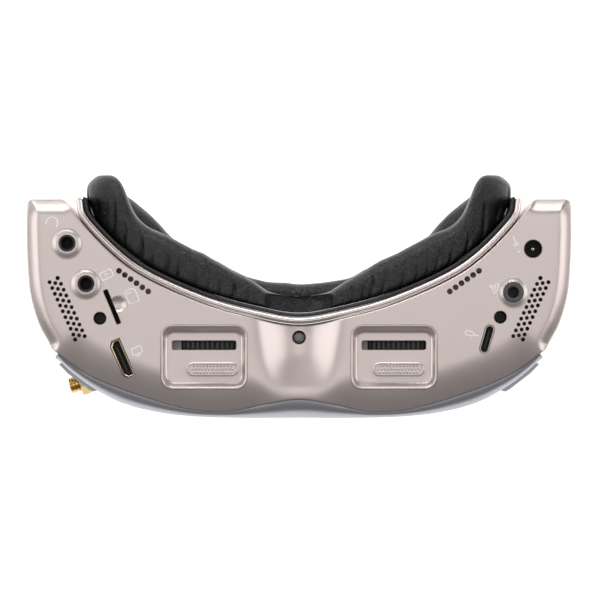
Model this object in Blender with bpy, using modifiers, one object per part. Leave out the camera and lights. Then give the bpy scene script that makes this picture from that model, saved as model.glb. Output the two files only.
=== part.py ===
"""FPV goggles: a two-shell visor with sliding, focusing optics, a face foam, ports and controls.

Metres, +Z up. The visor lies on its flat top, so its port side faces up. +Y points at the wearer's
face and +X at the wearer's right hand. The origin is the centre of the base.
"""
import math

import bmesh
import bpy
from mathutils import Matrix, Vector

MM = 0.001            # the dimensions below are millimetres, and each builder scales them once
GAP = 0.35            # between pieces that touch

# Housing
TOP = 61.4            # outer face of the port side
SPLIT = 31.0          # where the two shells meet
WALL = 2.2
EDGE = 3.4            # soft edge round the shells
EAR_END = 35.2        # rear end of each side arm
FRONT = -44.0         # foremost point of the front cover
COVER_Z = (1.4, 60.0)

# Optics
PANEL_X = 34.2        # centre of each adjuster panel
PANEL_Y = -21.9
PANEL_SIZE = (31.3, 23.3)
PANEL_FLOOR = 59.0
PANEL_BASE = 57.6
EYE_X = {"left": -31.2, "right": 35.9}
LENS_Z = 31.0
RING_R = 27.4
RING_Y = -17.6
KNOB_Y = -26.2
ROD_Y = -26.0
ROD_Z = (14.0, 46.0)
ROD_R = 1.5

# Electronics
PORT_BOARD_Z = 45.0
BOARD = 1.6
JACK_BASE = 47.0
PORT_FACE = 61.0      # outer ends of the sockets, just below the shell

# Receiver bays at the front corners, one on each side
BAY_ANGLE = math.radians(16.8)
BAY_FACE = (77.0, -30.8)
BAY_SHIFT = -2.4
BAY_WIDTH = 13.2
BAY_HEIGHT = 34.0
BAY_DEPTH = 9.5
BAY_GAP = 0.4
BAY_PROUD = 1.6        # how far the bay covers stand out of the housing

# Ports, as (x, y), size and angle in degrees
JACKS = {"headphone_jack": (-83.5, 19.1), "av_jack": (-76.7, 4.5), "tracker_jack": (77.2, 1.4)}
DC_SOCKET = (84.3, 17.1)
CARD_SLOT = ((-67.3, -3.8), (13.2, 1.7), -67.6)
SCREW_HOLES = {"left": (-71.7, -7.9), "right": (72.5, -7.5)}
STRAP_X = 91.5

# Controls on the visor's top
DIAL_R = 8.0
DIAL_PLACE = (82.0, 1.0)
BUTTON_R = 3.2
BUTTON_PLACE = (84.0, 18.5)
CONTROL_BOARD_Z = 8.0

SIDES = {"left": -1, "right": 1}


# ---------------------------------------------------------------- scene and materials
for old in list(bpy.data.objects):
    bpy.data.objects.remove(old, do_unlink=True)

PARTS = bpy.data.collections.new("fpv_goggles")
CUTTERS = bpy.data.collections.new("cutters")
bpy.context.scene.collection.children.link(PARTS)
bpy.context.scene.collection.children.link(CUTTERS)


def material(name, colour, roughness, metallic=0.0):
    made = bpy.data.materials.new(name)
    made.use_nodes = True
    shader = made.node_tree.nodes["Principled BSDF"]
    shader.inputs["Base Color"].default_value = (*colour, 1.0)
    shader.inputs["Roughness"].default_value = roughness
    shader.inputs["Metallic"].default_value = metallic
    made.diffuse_color = (*colour, 1.0)
    return made


SATIN = material("satin_champagne", (0.60, 0.53, 0.51), 0.35, 0.7)
SILVER = material("satin_silver", (0.50, 0.50, 0.56), 0.35, 0.7)
LEATHER = material("black_leather", (0.015, 0.015, 0.016), 0.5)
BLACK = material("black_plastic", (0.02, 0.02, 0.022), 0.45)
GREY = material("grey_plastic", (0.18, 0.18, 0.19), 0.5)
GOLD = material("gold_plate", (0.85, 0.58, 0.25), 0.25, 1.0)
STEEL = material("steel", (0.62, 0.62, 0.64), 0.3, 1.0)
GLASS = material("coated_glass", (0.10, 0.08, 0.16), 0.05)
CIRCUIT = material("circuit_board", (0.02, 0.09, 0.05), 0.5)

# place, size, angle, underside and material of each upright socket
SOCKETS = {"video_socket": ((-63.8, -22.5), (13.9, 3.8), -66.4, 54.6, SATIN),
           "usb_socket": ((67.7, -15.4), (10.4, 3.3), 74.0, JACK_BASE, STEEL)}


# ---------------------------------------------------------------- outlines, in millimetres
def smooth(points, steps=2):
    """Return points along the Catmull-Rom curve through the given ones."""
    ends = [Vector(p) for p in points]
    ends = [2 * ends[0] - ends[1]] + ends + [2 * ends[-1] - ends[-2]]
    path = []
    for a, b, c, d in zip(ends, ends[1:], ends[2:], ends[3:]):
        for i in range(steps):
            t = i / steps
            path.append(0.5 * (2 * b + (c - a) * t + (2 * a - 5 * b + 4 * c - d) * t ** 2
                               + (3 * b - a - 3 * c + d) * t ** 3))
    return path + [ends[-2]]


def offset(path, distance):
    """Shift an open path sideways, to the right of its direction of travel."""
    moved = []
    for i, point in enumerate(path):
        along = (path[min(i + 1, len(path) - 1)] - path[max(i - 1, 0)]).normalized()
        if abs(point.x) < 1e-6:
            along = Vector((-1.0, 0.0))
        moved.append(point + distance * Vector((along.y, -along.x)))
    return moved


def closed(half):
    """Close the right half of an outline with its mirror image."""
    half = [Vector(p) for p in half]
    return half + [Vector((-p.x, p.y)) for p in reversed(half) if abs(p.x) > 1e-6]


def rounded(width, height, radius, centre=(0.0, 0.0), angle=0.0, steps=4):
    """A rectangle with round corners, turned by angle degrees about its centre."""
    turn = Matrix.Rotation(math.radians(angle), 2)
    outline = []
    for quarter, (sx, sy) in enumerate(((1, 1), (-1, 1), (-1, -1), (1, -1))):
        corner = Vector((sx * (width / 2 - radius), sy * (height / 2 - radius)))
        for i in range(steps + 1):
            a = math.radians(90 * (quarter + i / steps))
            outline.append(turn @ (corner + radius * Vector((math.cos(a), math.sin(a)))) + Vector(centre))
    return outline


RIM = smooth([(80.6, 35.2), (77.5, 26.4), (60.0, 9.9), (35.2, -1.9), (14.5, -7.7), (0.0, -10.0)])
OUTER_SIDE = smooth([(98.2, 32.6), (98.3, 19.6), (97.2, 2.3), (94.2, -9.2), (90.0, -17.3)])
OUTER_FRONT = smooth([(88.9, -19.2), (83.0, -26.5), (65.3, -38.0), (40.0, -43.2), (0.0, FRONT)])
PARTING = smooth([(87.4, -20.3), (72.4, -30.1), (44.6, -39.6), (27.0, -41.6), (12.0, -38.4), (0.0, -36.5)])
CREST = smooth([(76.6, 38.0), (74.6, 42.9), (69.6, 44.0), (62.8, 37.1), (48.9, 23.6),
                (32.0, 14.7), (19.1, 7.6), (8.6, 5.4), (0.0, 4.7)])


# ---------------------------------------------------------------- builders
def link(name, mesh, look, collection=PARTS):
    made = bpy.data.objects.new(name, mesh)
    collection.objects.link(made)
    if look:
        mesh.materials.clear()
        mesh.materials.append(look)
        mesh.shade_smooth()
        mesh.set_sharp_from_angle(angle=math.radians(35))
    return made


def as_cutter(made):
    for owner in list(made.users_collection):
        owner.objects.unlink(made)
    CUTTERS.objects.link(made)
    made.hide_render = True
    made.display_type = "WIRE"
    return made


def plate(name, outline, low, high, look=None):
    """An outline in XY, filled and raised from low to high."""
    curve = bpy.data.curves.new(name, "CURVE")
    curve.dimensions = "2D"
    curve.fill_mode = "BOTH"
    curve.extrude = (high - low) / 2 * MM
    spline = curve.splines.new("POLY")
    spline.points.add(len(outline) - 1)
    for target, point in zip(spline.points, outline):
        target.co = (point[0] * MM, point[1] * MM, 0.0, 1.0)
    spline.use_cyclic_u = True
    flat = bpy.data.objects.new(name, curve)
    PARTS.objects.link(flat)
    flat.location.z = (low + high) / 2 * MM
    graph = bpy.context.evaluated_depsgraph_get()
    mesh = bpy.data.meshes.new_from_object(flat.evaluated_get(graph))
    mesh.transform(Matrix.Translation((0, 0, flat.location.z)))
    bpy.data.objects.remove(flat, do_unlink=True)
    shape = bmesh.new()
    shape.from_mesh(mesh)
    bmesh.ops.remove_doubles(shape, verts=shape.verts, dist=1e-6)
    bmesh.ops.dissolve_limit(shape, angle_limit=0.002, verts=shape.verts, edges=shape.edges)
    bmesh.ops.recalc_face_normals(shape, faces=shape.faces)
    shape.to_mesh(mesh)
    shape.free()
    return link(name, mesh, look)


def box(name, size, centre, look=None, angle=0.0):
    """A block, turned by angle degrees about Z."""
    shape = bmesh.new()
    bmesh.ops.create_cube(shape, size=1.0)
    bmesh.ops.scale(shape, vec=Vector(size) * MM, verts=shape.verts)
    mesh = bpy.data.meshes.new(name)
    shape.to_mesh(mesh)
    shape.free()
    made = link(name, mesh, look)
    made.location = Vector(centre) * MM
    made.rotation_euler.z = math.radians(angle)
    return made


def turned(name, profile, centre, look=None, axis=(0, 0, 1), steps=24):
    """A profile of (radius, height) points, run down its outer side, turned about the axis."""
    mesh = bpy.data.meshes.new(name)
    count = len(profile)
    on_axis = profile[0][0] == 0
    edges = [(i, i + 1) for i in range(count - 1)] + ([] if on_axis else [(count - 1, 0)])
    mesh.from_pydata([(r * MM, 0.0, h * MM) for r, h in profile], edges, [])
    made = link(name, mesh, look)
    screw = made.modifiers.new("turn", "SCREW")
    screw.steps = screw.render_steps = steps
    screw.use_merge_vertices = True
    screw.merge_threshold = 1e-6
    screw.use_smooth_shade = True
    made.location = Vector(centre) * MM
    made.rotation_mode = "QUATERNION"
    made.rotation_quaternion = Vector((0, 0, 1)).rotation_difference(Vector(axis))
    return made


def rod(name, radius, length, centre, look=None, axis=(0, 0, 1), steps=24):
    half = length / 2
    return turned(name, [(0, half), (radius, half), (radius, -half), (0, -half)], centre, look, axis, steps)


def boolean(target, tool, operation="DIFFERENCE"):
    edit = target.modifiers.new(tool.name, "BOOLEAN")
    edit.operation = operation
    edit.solver = "EXACT"
    edit.object = as_cutter(tool)
    return target


def bevel(target, width, segments=2, chosen=None):
    """Round the sharp edges, or only the edges whose two ends pass the chosen test."""
    edit = target.modifiers.new("soft_edge", "BEVEL")
    edit.width = width * MM
    edit.segments = segments
    edit.use_clamp_overlap = True
    if chosen is None:
        edit.limit_method = "ANGLE"
        edit.angle_limit = math.radians(40)
        return target
    mesh = target.data
    weights = mesh.attributes.new("bevel_weight_edge", "FLOAT", "EDGE")
    for edge in mesh.edges:
        ends = [mesh.vertices[v].co / MM for v in edge.vertices]
        weights.data[edge.index].value = float(all(chosen(end) for end in ends))
    edit.limit_method = "WEIGHT"
    return target


# ---------------------------------------------------------------- housing
def shell_outline():
    rear = [p for p in offset(RIM, -0.5) if p.x < 77.0]
    ear = [(85.0, EAR_END), (96.2, EAR_END), (97.8, 34.4)]
    half = list(reversed(rear)) + [(78.4, 26.2)] + ear + OUTER_SIDE + PARTING
    return closed(half)


def cavity_outline():
    side = [p for p in offset(OUTER_SIDE, WALL) if p.y < 31.0]
    front = [p + Vector((0.0, WALL)) for p in PARTING if p.x < 85.0]
    rear = [p - Vector((0.0, WALL)) for p in offset(RIM, -0.5) if p.x < 74.0]
    ear = [(79.4, 24.0), (86.2, 33.0), (95.9, 33.0)]
    return closed(list(reversed(rear)) + ear + side + front)


def opening_strip(limit, low, high):
    """A strip along the faceplate that opens the shells to it, out to x = limit."""
    near = [p for p in offset(RIM, 7.0) if p.x < limit]
    far = [p for p in offset(RIM, -4.0) if p.x < limit]
    return plate("face_opening", closed(list(reversed(near)) + far), low, high)


def saddle():
    """A tapering round scoop for the nose, deepest at the faceplate."""
    shape = bmesh.new()
    bmesh.ops.create_cone(shape, cap_ends=True, segments=40, radius1=17.5 * MM, radius2=23.0 * MM,
                          depth=60.0 * MM)
    mesh = bpy.data.meshes.new("saddle")
    shape.to_mesh(mesh)
    shape.free()
    scoop = link("saddle", mesh, None)
    scoop.location = Vector((0.0, -10.0, 77.0)) * MM
    scoop.rotation_euler.x = math.radians(-90)
    return scoop


def bay_block(name, side, look=None, proud=0.0, grow=0.0):
    """The corner block of the module bay; its outer face is square to the antenna axis."""
    out = Vector((side * math.cos(BAY_ANGLE), -math.sin(BAY_ANGLE)))
    across = Vector((-side * math.sin(BAY_ANGLE), -math.cos(BAY_ANGLE)))
    middle = (proud - BAY_DEPTH - grow) / 2
    centre = Vector((side * BAY_FACE[0], BAY_FACE[1])) + out * middle + across * BAY_SHIFT
    size = (BAY_DEPTH + grow + proud, BAY_WIDTH + 2 * grow, BAY_HEIGHT + 2 * grow)
    return box(name, size, (*centre, SPLIT), look, -side * math.degrees(BAY_ANGLE))


def vent_cutter(side, low, high):
    """Ten staggered rows of three holes with a single one at each end."""
    places = [(86.9, 6.6), (80.6, -15.5)]
    for row in range(10):
        x, y = 89.8 - 0.95 * row, 5.1 - 2.09 * row
        places += [(x - 2.05 * i, y - 0.3 * i) for i in range(3)]
    places = [(side * x, y, 0.62) for x, y in places]
    places += [(side * (64.8 - 2.1 * i), 9.2 - 1.48 * i, 1.0) for i in range(6)]
    shape = bmesh.new()
    for x, y, radius in places:
        matrix = Matrix.Translation(Vector((x, y, (low + high) / 2)) * MM)
        bmesh.ops.create_cone(shape, cap_ends=True, segments=6, radius1=radius * MM, radius2=radius * MM,
                              depth=(high - low) * MM, matrix=matrix)
    mesh = bpy.data.meshes.new("vents")
    shape.to_mesh(mesh)
    shape.free()
    return link("vents", mesh, None)


def outer_edge(end):
    """Whether a bevel may touch this end of an edge: on a broad face and away from the faceplate."""
    inside_ear = end.y > 26.0 and abs(end.x) < 84.0
    behind = end.y > -12.0 and abs(end.x) < 77.5
    return (end.z > TOP - 1 or end.z < 1) and not inside_ear and not behind


def build_underside():
    shell = plate("underside_shell", shell_outline(), SPLIT + GAP / 2, TOP, SATIN)
    bevel(shell, EDGE, 2, outer_edge)
    boolean(shell, plate("cavity", cavity_outline(), SPLIT - 5, TOP - WALL))
    boolean(shell, opening_strip(72.0, SPLIT - 5, TOP - WALL))
    boolean(shell, box("front_opening", (120, 12, 50), (0, -40, SPLIT)))
    boolean(shell, box("nose_block", (25.6, 24.0, 7.6), (0, -23.2, TOP - 4.1)), "UNION")
    boolean(shell, saddle())
    for name, (x, y) in JACKS.items():
        profile = [(0, 0.6), (3.6, 0.6), (5.3, -0.3), (5.3, -1), (0, -1)]
        boss = turned(f"{name}_boss", profile, (x, y, TOP), steps=16)
        boolean(shell, boss, "UNION")
        boolean(shell, rod(f"{name}_hole", 3.3, 12, (x, y, TOP), steps=12))
    boolean(shell, rod("dc_hole", 3.2, 12, (*DC_SOCKET, TOP), steps=12))
    for name, (place, size, angle, _, _) in SOCKETS.items():
        clear = (size[0] + 2 * GAP, size[1] + 2 * GAP, 12)
        boolean(shell, box(f"{name}_hole", clear, (*place, TOP), None, angle))
    place, size, angle = CARD_SLOT
    boolean(shell, box("card_hole", (size[0], size[1], 12), (*place, TOP), None, angle))
    for side, sign in SIDES.items():
        width, height = PANEL_SIZE[0] + 2 * GAP, PANEL_SIZE[1] + 2 * GAP
        panel = rounded(width, height, 4.6, (sign * PANEL_X, PANEL_Y), steps=3)
        boolean(shell, plate(f"panel_hole_{side}", panel, TOP - 6, TOP + 1))
        boolean(shell, vent_cutter(sign, TOP - 4, TOP + 1))
        boolean(shell, rod(f"screw_hole_{side}", 2.25, 12, (*SCREW_HOLES[side], TOP), steps=12))
        boolean(shell, bay_block(f"bay_{side}", sign, None, 12.0, BAY_GAP))
        boolean(shell, box(f"strap_slot_{side}", (3.6, 8, 14), (sign * STRAP_X, EAR_END, 38.0)))
    boolean(shell, rod("centre_screw_hole", 2.4, 20, (0, -14.8, TOP), steps=12))


def build_top():
    shell = plate("top_shell", shell_outline(), 0.0, SPLIT - GAP / 2, SATIN)
    bevel(shell, EDGE, 2, outer_edge)
    boolean(shell, plate("cavity", cavity_outline(), WALL, SPLIT + 5))
    boolean(shell, opening_strip(72.0, WALL, SPLIT + 5))
    boolean(shell, box("front_opening", (120, 12, 50), (0, -40, SPLIT)))
    for side, sign in SIDES.items():
        boolean(shell, bay_block(f"bay_{side}", sign, None, 12.0, BAY_GAP))
        boolean(shell, box(f"strap_slot_{side}", (3.6, 8, 14), (sign * STRAP_X, EAR_END, 24.0)))
        boolean(shell, rod(f"dial_hole_{side}", DIAL_R + GAP, 10, (sign * DIAL_PLACE[0], DIAL_PLACE[1], 0)))
        button = (sign * BUTTON_PLACE[0], BUTTON_PLACE[1], 0)
        boolean(shell, rod(f"button_hole_{side}", BUTTON_R + GAP, 10, button, steps=16))


def build_front_cover():
    rear = [p - Vector((0.0, 0.4)) for p in PARTING if p.x < 84.0]
    cover = plate("front_cover", closed_band(OUTER_FRONT, rear), *COVER_Z, SILVER)
    bevel(cover, 1.6, 1, outside_parting)
    inner = [p for p in offset(OUTER_FRONT, 2.0) if p.x < 74.0]
    hollow = closed_band(inner, [Vector((inner[0].x, -20.0)), Vector((0.0, -20.0))])
    boolean(cover, plate("cover_hollow", hollow, COVER_Z[0] + 2.0, COVER_Z[1] - 2.0))
    for side, sign in SIDES.items():
        boolean(cover, bay_block(f"bay_{side}", sign, None, 12.0, BAY_GAP))


def closed_band(front, rear):
    """Close the band between two half paths that both run in to the centre plane."""
    half = list(reversed(front)) + [Vector(p) for p in rear]
    return half + [Vector((-p.x, p.y)) for p in reversed(half)][1:-1]


def outside_parting(end):
    """True on the front cover's outer outline, short of its pointed ends."""
    spot = Vector((abs(end.x), end.y))
    return any((spot - p).length < 0.05 for p in OUTER_FRONT if p.x < 80.0)


def build_face():
    """The faceplate, the hook-and-loop flange on it and the padded foam."""
    layers = (("faceplate", 0.0, 2.2, 1.2, TOP - 1.2, SATIN), ("foam_flange", 2.55, 4.3, 3.0, TOP - 3.0, BLACK))
    for name, inner, outer, low, high, look in layers:
        body_side = offset(RIM, inner)
        face_side = offset(RIM, outer)
        strip = plate(name, closed_band(body_side, face_side), low, high, look)
        for side, sign in SIDES.items():
            window = rounded(44.0, 42.0, 12.0, (sign * 36.0, 0.0), steps=4)
            opening = plate(f"{name}_window_{side}", window, -60, 60)
            opening.rotation_euler.x = math.radians(90)
            opening.location.z = LENS_Z * MM
            boolean(strip, opening)
        boolean(strip, saddle())
    base = [p for p in offset(RIM, 4.7) if p.y < 37.0]
    foam = plate("face_foam", closed_band(base, CREST), 5.0, TOP - 4.0, LEATHER)
    bevel(foam, 4.0, 1, outside_crest)
    space = rounded(124.0, 28.0, 10.0, steps=3)
    eye_space = plate("eye_space", space, -60, 60)
    eye_space.rotation_euler.x = math.radians(90)
    eye_space.location.z = LENS_Z * MM
    boolean(foam, eye_space)
    boolean(foam, rod("nose_dip", 16.0, 60, (0, 0, TOP + 6.5), None, (0, 1, 0), 32))


def outside_crest(end):
    return any((Vector((abs(end.x), end.y)) - p).length < 0.05 for p in CREST)


# ---------------------------------------------------------------- optics
def build_optics(side, sign):
    x = EYE_X[side]
    panel_centre = (sign * PANEL_X, PANEL_Y)
    panel = plate(f"adjuster_panel_{side}", rounded(*PANEL_SIZE, 4.3, panel_centre), PANEL_BASE, TOP, SATIN)
    boolean(panel, plate(f"recess_{side}", rounded(26.9, 18.0, 2.6, panel_centre), PANEL_FLOOR, TOP + 5))
    boolean(panel, box(f"wheel_window_{side}", (23.1, 3.3, 12), (sign * PANEL_X, RING_Y, PANEL_FLOOR)))
    boolean(panel, box(f"knob_slot_{side}", (12.6, 2.6, 12), (sign * PANEL_X, KNOB_Y, PANEL_FLOOR)))

    stadium = rounded(18.6, 5.0, 2.45, (x, KNOB_Y), steps=5)
    knob = plate(f"ipd_knob_{side}", stadium, PANEL_FLOOR + GAP, TOP - 0.3, GREY)
    boolean(knob, box(f"knob_stem_{side}", (3.6, 1.8, 3.0), (x, KNOB_Y, PANEL_FLOOR)), "UNION")

    carriage = box(f"ipd_carriage_{side}", (42.0, 8.0, 44.0), (x, ROD_Y, LENS_Z), BLACK)
    boolean(carriage, box(f"bridge_{side}", (32.4, 8.0, 6.0), (x, ROD_Y, PANEL_BASE - 0.4 - 3.0)), "UNION")
    for end in (-1, 1):
        horn = box(f"horn_{side}_{end}", (5.0, 9.0, 0.7), (x + end * 13.7, -19.2, PANEL_BASE - 0.75))
        boolean(carriage, horn, "UNION")
    boolean(carriage, rod(f"barrel_bore_{side}", 17.0, 20, (x, ROD_Y, LENS_Z), None, (0, 1, 0), 24))
    for z in ROD_Z:
        boolean(carriage, rod(f"rod_bore_{side}_{z:.0f}", ROD_R + GAP, 60, (x, ROD_Y, z), None, (1, 0, 0), 12))

    tread = [(RING_R, 1.4), (RING_R, -1.4), (24.8, -1.4)]
    web = [(24.8, -0.9), (17.2, -0.9), (17.2, 0.9), (24.8, 0.9), (24.8, 1.4)]
    turned(f"focus_ring_{side}", tread + web, (x, RING_Y, LENS_Z), BLACK, (0, 1, 0), 28)
    cell = [(16.5, 5.9), (16.5, -5.8), (14.0, -5.8), (14.0, -1.0), (15.2, 0.0), (15.2, 5.9)]
    turned(f"lens_cell_{side}", cell, (x, -16.0, LENS_Z), BLACK, (0, 1, 0), 20)
    bulge = [(14.6 * math.sin(a), 1.5 + 2.6 * math.cos(a)) for a in (0.0, 0.6, 1.1, math.pi / 2)]
    lens = bulge + [(r, 1.0 - h) for r, h in reversed(bulge)]
    turned(f"lens_{side}", lens, (x, -12.9, LENS_Z), GLASS, (0, 1, 0), 20)
    box(f"display_panel_{side}", (28.0, 2.0, 22.0), (x, -31.6, LENS_Z), GLASS)
    box(f"display_board_{side}", (32.0, 1.4, 38.0), (x, -33.8, LENS_Z), CIRCUIT)


def build_guides():
    for name, z in zip(("guide_rod_brow", "guide_rod_cheek"), ROD_Z):
        rod(name, ROD_R, 133.0, (0, ROD_Y, z), STEEL, (1, 0, 0), 12)
    for place, x, width in (("left", -65.0, 3.0), ("centre", 0, 5.0), ("right", 65.0, 3.0)):
        name = f"rod_bracket_{place}"
        bracket = box(name, (width, 7.0, 47.4), (x, ROD_Y, 26.3), GREY)
        for z in ROD_Z:
            boolean(bracket, rod(f"{name}_{z:.0f}", ROD_R + GAP, 20, (x, ROD_Y, z), None, (1, 0, 0), 12))


# ---------------------------------------------------------------- ports and electronics
def build_ports():
    for name, (x, y) in JACKS.items():
        body = [(0, 14.2), (2.9, 14.2), (2.9, 11.6), (4.4, 11.6), (4.4, 0), (0, 0)]
        jack = turned(name, body, (x, y, JACK_BASE), GREY if name == "tracker_jack" else BLACK, steps=14)
        boolean(jack, rod(f"{name}_bore", 1.8, 14, (x, y, JACK_BASE + 12), steps=10))
    barrel = [(0, 11.7), (4.6, 11.7), (4.6, 0), (0, 0)]
    dc = turned("dc_socket", barrel, (*DC_SOCKET, JACK_BASE), BLACK, steps=14)
    boolean(dc, rod("dc_bore", 3.1, 14, (*DC_SOCKET, JACK_BASE + 10), steps=12))
    boolean(dc, rod("dc_pin", 0.9, 8.6, (*DC_SOCKET, JACK_BASE + 6.4), steps=10), "UNION")
    for name, (place, size, angle, base, look) in SOCKETS.items():
        height = PORT_FACE - base
        body = box(name, (size[0], size[1], height), (*place, base + height / 2), look, angle)
        mouth = box(f"{name}_mouth", (size[0] - 1.2, size[1] - 1.0, 10.0), (*place, PORT_FACE), None, angle)
        boolean(body, mouth)
        tongue = box(f"{name}_tongue", (size[0] * 0.62, 0.7, 5.0), (*place, PORT_FACE - 4.0), None, angle)
        boolean(body, tongue, "UNION")
    place, size, angle, base, _ = SOCKETS["video_socket"]
    box("video_board", (size[0], 5.0, 1.0), (*place, base - 0.8), CIRCUIT, angle)
    place, size, angle = CARD_SLOT
    reader = box("card_reader", (15.0, 3.4, 11.6), (*place, JACK_BASE + 5.8), STEEL, angle)
    boolean(reader, box("card_mouth", (12.2, 1.3, 20.0), (*place, JACK_BASE + 13.0), None, angle))


def build_electronics():
    for side, sign in SIDES.items():
        outline = [(67.5, 12.0), (67.5, -27.0), (71.5, -27.0), (84.0, -19.0),
                   (93.5, -4.0), (94.0, 27.0), (82.0, 25.0)]
        outline = [(sign * x, y) for x, y in outline]
        board = plate(f"port_board_{side}", outline, PORT_BOARD_Z, PORT_BOARD_Z + BOARD, CIRCUIT)
        boolean(board, bay_block(f"board_notch_{side}", sign, None, 12.0, BAY_GAP))
        place = (sign * 83.5, 7.0, CONTROL_BOARD_Z + BOARD / 2)
        box(f"control_board_{side}", (13.0, 28.0, BOARD), place, CIRCUIT)
    box("main_board", (96.0, BOARD, 42.0), (0, -37.0, LENS_Z), CIRCUIT)


def build_bays():
    out = Vector((-math.cos(BAY_ANGLE), -math.sin(BAY_ANGLE), 0.0))
    for name, side, look in (("receiver_module", -1, GREY), ("bay_cover", 1, SILVER)):
        bulge = offset(OUTER_FRONT, -BAY_PROUD)
        skin = plate(f"{name}_skin", closed_band(bulge, [Vector((80.0, 0.0)), Vector((0.0, 0.0))]), 5, TOP - 5)
        boolean(bay_block(name, side, look, 16.0), skin, "INTERSECT")
    module = bpy.data.objects["receiver_module"]
    face = Vector((-BAY_FACE[0], BAY_FACE[1], 0.0))
    for number, z in enumerate((21.0, 41.0), 1):
        pocket = rod(f"antenna_pocket_{number}", 5.0, 20, face + out * 10 + Vector((0, 0, z)), None, out, 16)
        boolean(module, pocket)
        nut = [(4.6, 2.3), (4.6, 0), (3.8, 0), (3.8, 2.3)]
        turned(f"antenna_nut_{number}", nut, face + out * GAP + Vector((0, 0, z)), GOLD, out, 6)
        barrel = [(0, 6.2), (3.0, 6.2), (3.0, 0), (0, 0)]
        port = turned(f"antenna_port_{number}", barrel, face + out * GAP + Vector((0, 0, z)), GOLD, out, 16)
        mouth = face + out * 7.5 + Vector((0, 0, z))
        boolean(port, rod(f"antenna_bore_{number}", 2.3, 8, mouth, None, out, 12))


def build_fan():
    centre = (-73.0, -3.0, 27.0)
    frame = box("fan_frame", (7.0, 25.0, 25.0), centre, BLACK)
    boolean(frame, rod("fan_throat", 11.4, 20, (centre[0], centre[1], centre[2]), None, (1, 0, 0), 24))
    boolean(frame, box("fan_strut", (1.2, 24.0, 4.0), (centre[0] + 2.9, centre[1], centre[2])), "UNION")
    hub = rod("fan_rotor", 4.6, 4.4, (centre[0] - 0.6, centre[1], centre[2]), GREY, (1, 0, 0), 14)
    for blade in range(7):
        turn = Matrix.Rotation(math.radians(360 / 7 * blade), 3, "X")
        middle = Vector(centre) + Vector((-0.6, 0, 0)) + turn @ Vector((0, 0, 7.0))
        tip = box(f"blade_{blade}", (0.9, 3.2, 7.2), middle)
        tip.rotation_euler = (turn @ Matrix.Rotation(math.radians(35), 3, "Z")).to_euler()
        boolean(hub, tip, "UNION")


def build_controls():
    for name, sign in (("menu_dial", -1), ("channel_dial", 1)):
        cap = [(0, 6.4), (2.0, 6.4), (2.0, 3.4), (DIAL_R, 3.4), (DIAL_R, 1.0), (DIAL_R - 0.6, 0.4), (0, 0.4)]
        turned(name, cap, (sign * DIAL_PLACE[0], DIAL_PLACE[1], 0), GREY, steps=20)
    for name, sign in (("power_button", -1), ("record_button", 1)):
        cap = [(0, 6.4), (BUTTON_R - 1, 6.4), (BUTTON_R, 5.6), (BUTTON_R, 1.0), (BUTTON_R - 0.6, 0.4), (0, 0.4)]
        turned(name, cap, (sign * BUTTON_PLACE[0], BUTTON_PLACE[1], 0), GREY, steps=12)


def build_fasteners():
    head = [(0, 2.4), (2.05, 2.4), (2.05, 0), (1.1, 0), (1.1, -6.0), (0, -6.0)]
    turned("centre_screw", head, (0, -14.8, 52.6), BLACK, steps=12)
    for side, sign in SIDES.items():
        x, y = SCREW_HOLES[side]
        turned(f"housing_screw_{side}", head, (x, y, 55.4), BLACK, steps=12)
        rod(f"strap_bar_{side}", 1.2, 44.0, (sign * STRAP_X, 29.0, SPLIT), STEEL, steps=10)


build_underside()
build_top()
build_front_cover()
build_face()
for eye, eye_sign in SIDES.items():
    build_optics(eye, eye_sign)
build_guides()
build_ports()
build_electronics()
build_bays()
build_fan()
build_controls()
build_fasteners()
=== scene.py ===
"""FPV goggles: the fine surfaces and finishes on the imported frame.

Lengths are worked out in millimetres and put into meshes in metres. +Z is the port side,
+Y points to the wearer's face and +X to the wearer's right hand.
"""
import math

import bmesh
import bpy
import numpy as np
from mathutils import Matrix, Vector


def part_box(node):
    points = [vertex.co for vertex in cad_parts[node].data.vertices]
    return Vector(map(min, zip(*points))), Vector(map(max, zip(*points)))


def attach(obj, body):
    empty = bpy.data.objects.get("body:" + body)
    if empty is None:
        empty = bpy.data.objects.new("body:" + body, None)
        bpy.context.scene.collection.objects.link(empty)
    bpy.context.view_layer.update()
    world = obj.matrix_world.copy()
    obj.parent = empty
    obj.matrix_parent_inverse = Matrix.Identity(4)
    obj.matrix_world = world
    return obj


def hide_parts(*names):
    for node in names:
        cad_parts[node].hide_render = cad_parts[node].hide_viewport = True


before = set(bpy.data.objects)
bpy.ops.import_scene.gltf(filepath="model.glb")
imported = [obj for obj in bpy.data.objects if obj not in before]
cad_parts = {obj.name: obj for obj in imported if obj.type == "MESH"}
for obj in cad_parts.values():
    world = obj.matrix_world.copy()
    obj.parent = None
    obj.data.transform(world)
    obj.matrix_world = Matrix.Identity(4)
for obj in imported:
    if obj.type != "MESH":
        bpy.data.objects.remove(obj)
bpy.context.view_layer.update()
MM = 0.001


# ------------------------------ the frame's own sizes
def node_box(node):
    """Lowest and highest corner of a frame node, in millimetres."""
    low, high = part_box(node)
    return np.array(low) / MM, np.array(high) / MM


SHELL_LOW, SHELL_HIGH = node_box("underside_shell")
TOP = SHELL_HIGH[2] - 0.6                    # the port side's flat field, below the jack bosses
SPLIT = (SHELL_LOW[2] + node_box("top_shell")[1][2]) / 2
SEAM = 0.3
FACE_TOP = node_box("faceplate")[1][2]
FOAM_DEEPEST = node_box("face_foam")[1][1]


def node_middle(node):
    """Middle of a frame node's box, in millimetres."""
    low, high = node_box(node)
    return (low + high) / 2


EYES = {side: node_middle(f"focus_ring_{side}") for side in ("left", "right")}
PANELS = {side: node_middle(f"adjuster_panel_{side}") for side in ("left", "right")}
KNOBS = {side: node_middle(f"ipd_knob_{side}") for side in ("left", "right")}


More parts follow.
